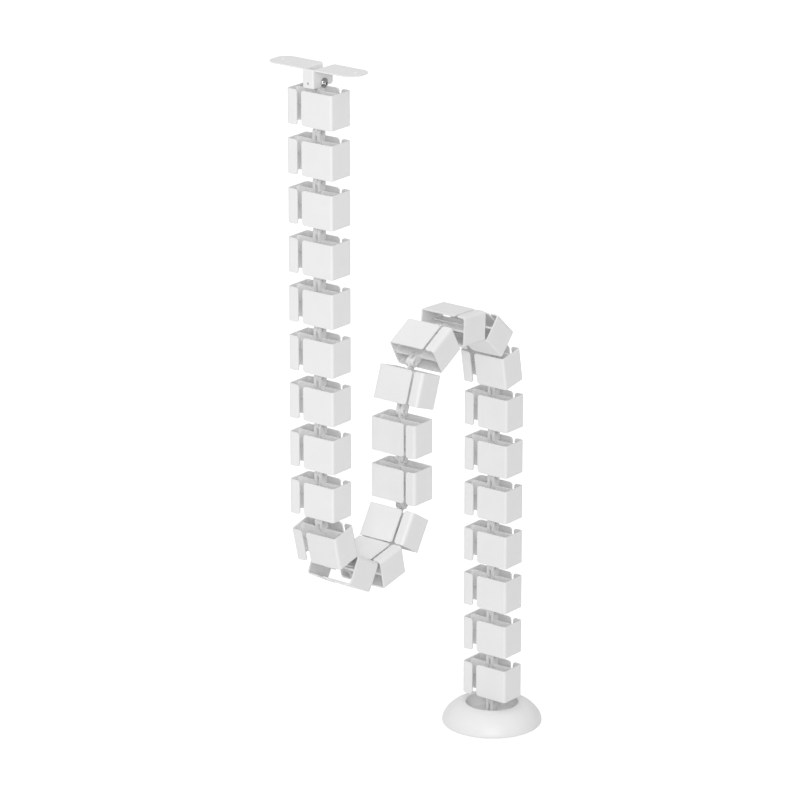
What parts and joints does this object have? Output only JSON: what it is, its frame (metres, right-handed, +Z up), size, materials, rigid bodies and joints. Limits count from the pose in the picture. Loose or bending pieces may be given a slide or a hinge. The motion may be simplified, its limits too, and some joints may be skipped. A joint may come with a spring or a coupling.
{
  "type": "cable spine",
  "caption": "Hinged cable spine of slotted plastic vertebrae, hung from a sheet-metal desk bracket and ending in a weighted round floor base.",
  "frame": {"origin": "on top of the bracket's flanges, midway between the two desk screw holes and above the first hinge", "axes": "+X along the hinge pins, +Z up, +Y towards the side that the chain loops out to"},
  "size_m": [0.105, 0.3421, 0.7418],
  "materials": {
    "moulded_white": "satin moulded",
    "white_enamel": "powder coated",
    "bright_steel": "nickel plated",
    "weight_steel": "zinc plated",
    "foot_rubber": "matte"
  },
  "bodies": {
    "bracket": {"desk_bracket": "white_enamel", "pivot_screw": "bright_steel", "pivot_nut": "bright_steel"},
    "link_01": {"vertebra_01": "moulded_white"},
    "link_02": {"vertebra_02": "moulded_white"},
    "link_03": {"vertebra_03": "moulded_white"},
    "link_04": {"vertebra_04": "moulded_white"},
    "link_05": {"vertebra_05": "moulded_white"},
    "link_06": {"vertebra_06": "moulded_white"},
    "link_07": {"vertebra_07": "moulded_white"},
    "link_08": {"vertebra_08": "moulded_white"},
    "link_09": {"vertebra_09": "moulded_white"},
    "link_10": {"vertebra_10": "moulded_white"},
    "link_11": {"vertebra_11": "moulded_white"},
    "link_12": {"vertebra_12": "moulded_white"},
    "link_13": {"vertebra_13": "moulded_white"},
    "link_14": {"vertebra_14": "moulded_white"},
    "link_15": {"vertebra_15": "moulded_white"},
    "link_16": {"vertebra_16": "moulded_white"},
    "link_17": {"vertebra_17": "moulded_white"},
    "link_18": {"vertebra_18": "moulded_white"},
    "link_19": {"vertebra_19": "moulded_white"},
    "link_20": {"vertebra_20": "moulded_white"},
    "link_21": {"vertebra_21": "moulded_white"},
    "link_22": {"vertebra_22": "moulded_white"},
    "link_23": {"vertebra_23": "moulded_white"},
    "link_24": {"vertebra_24": "moulded_white"},
    "link_25": {"vertebra_25": "moulded_white"},
    "link_26": {"vertebra_26": "moulded_white"},
    "link_27": {"vertebra_27": "moulded_white"},
    "base": {"base_cover": "moulded_white", "base_weight": "weight_steel", "base_screws": "bright_steel", "base_feet": "foot_rubber"}
  },
  "joints": [
    {"name": "hinge_00", "type": "hinge", "parent": "bracket", "child": "link_01", "pos_m": [0, 0, -0.0148], "axis": [1, 0, 0], "range_deg": [-12, 45]},
    {"name": "hinge_01", "type": "hinge", "parent": "link_01", "child": "link_02", "pos_m": [0, 0, -0.0628], "axis": [1, 0, 0], "range_deg": [-48, 48]},
    {"name": "hinge_02", "type": "hinge", "parent": "link_02", "child": "link_03", "pos_m": [0, 0, -0.1108], "axis": [-1, 0, 0], "range_deg": [-48, 48]},
    {"name": "hinge_03", "type": "hinge", "parent": "link_03", "child": "link_04", "pos_m": [0, 0, -0.1588], "axis": [-1, 0, 0], "range_deg": [-48, 48]},
    {"name": "hinge_04", "type": "hinge", "parent": "link_04", "child": "link_05", "pos_m": [0, 0, -0.2068], "axis": [1, 0, 0], "range_deg": [-48, 48]},
    {"name": "hinge_05", "type": "hinge", "parent": "link_05", "child": "link_06", "pos_m": [0, 0, -0.2548], "axis": [1, 0, 0], "range_deg": [-48, 48]},
    {"name": "hinge_06", "type": "hinge", "parent": "link_06", "child": "link_07", "pos_m": [0, 0, -0.3028], "axis": [-1, 0, 0], "range_deg": [-48, 48]},
    {"name": "hinge_07", "type": "hinge", "parent": "link_07", "child": "link_08", "pos_m": [0, 0, -0.3508], "axis": [-1, 0, 0], "range_deg": [-48, 48]},
    {"name": "hinge_08", "type": "hinge", "parent": "link_08", "child": "link_09", "pos_m": [0, 0, -0.3988], "axis": [1, 0, 0], "range_deg": [-48, 48]},
    {"name": "hinge_09", "type": "hinge", "parent": "link_09", "child": "link_10", "pos_m": [0, 0, -0.4468], "axis": [1, 0, 0], "range_deg": [-62, 33.5]},
    {"name": "hinge_10", "type": "hinge", "parent": "link_10", "child": "link_11", "pos_m": [0, 0.01189, -0.4933], "axis": [-1, 0, 0], "range_deg": [-0.5, 95]},
    {"name": "hinge_11", "type": "hinge", "parent": "link_11", "child": "link_12", "pos_m": [0, 0.05404, -0.51627], "axis": [-1, 0, 0], "range_deg": [-7, 88.5]},
    {"name": "hinge_12", "type": "hinge", "parent": "link_12", "child": "link_13", "pos_m": [0, 0.10099, -0.50631], "axis": [1, 0, 0], "range_deg": [-94.5, 1]},
    {"name": "hinge_13", "type": "hinge", "parent": "link_13", "child": "link_14", "pos_m": [0, 0.12602, -0.46535], "axis": [1, 0, 0], "range_deg": [-79, 16.5]},
    {"name": "hinge_14", "type": "hinge", "parent": "link_14", "child": "link_15", "pos_m": [0, 0.12602, -0.41735], "axis": [-1, 0, 0], "range_deg": [-48, 48]},
    {"name": "hinge_15", "type": "hinge", "parent": "link_15", "child": "link_16", "pos_m": [0, 0.12602, -0.36935], "axis": [-1, 0, 0], "range_deg": [-67, 28.5]},
    {"name": "hinge_16", "type": "hinge", "parent": "link_16", "child": "link_17", "pos_m": [0, 0.14179, -0.32401], "axis": [1, 0, 0], "range_deg": [-6, 89.5]},
    {"name": "hinge_17", "type": "hinge", "parent": "link_17", "child": "link_18", "pos_m": [0, 0.18365, -0.30054], "axis": [1, 0, 0], "range_deg": [-16, 79.5]},
    {"name": "hinge_18", "type": "hinge", "parent": "link_18", "child": "link_19", "pos_m": [0, 0.2316, -0.3028], "axis": [-1, 0, 0], "range_deg": [-87.5, 8]},
    {"name": "hinge_19", "type": "hinge", "parent": "link_19", "child": "link_20", "pos_m": [0, 0.26712, -0.33509], "axis": [-1, 0, 0], "range_deg": [-85.5, 10]},
    {"name": "hinge_20", "type": "hinge", "parent": "link_20", "child": "link_21", "pos_m": [0, 0.2753, -0.38239], "axis": [1, 0, 0], "range_deg": [-38, 57.5]},
    {"name": "hinge_21", "type": "hinge", "parent": "link_21", "child": "link_22", "pos_m": [0, 0.2753, -0.43039], "axis": [1, 0, 0], "range_deg": [-48, 48]},
    {"name": "hinge_22", "type": "hinge", "parent": "link_22", "child": "link_23", "pos_m": [0, 0.2753, -0.47839], "axis": [-1, 0, 0], "range_deg": [-48, 48]},
    {"name": "hinge_23", "type": "hinge", "parent": "link_23", "child": "link_24", "pos_m": [0, 0.2753, -0.52639], "axis": [-1, 0, 0], "range_deg": [-48, 48]},
    {"name": "hinge_24", "type": "hinge", "parent": "link_24", "child": "link_25", "pos_m": [0, 0.2753, -0.57439], "axis": [1, 0, 0], "range_deg": [-48, 48]},
    {"name": "hinge_25", "type": "hinge", "parent": "link_25", "child": "link_26", "pos_m": [0, 0.2753, -0.62239], "axis": [1, 0, 0], "range_deg": [-48, 48]},
    {"name": "hinge_26", "type": "hinge", "parent": "link_26", "child": "link_27", "pos_m": [0, 0.2753, -0.67039], "axis": [-1, 0, 0], "range_deg": [-48, 48]},
    {"name": "hinge_27", "type": "hinge", "parent": "link_27", "child": "base", "pos_m": [0, 0.2753, -0.71839], "axis": [-1, 0, 0], "range_deg": [-24, 24]}
  ]
}
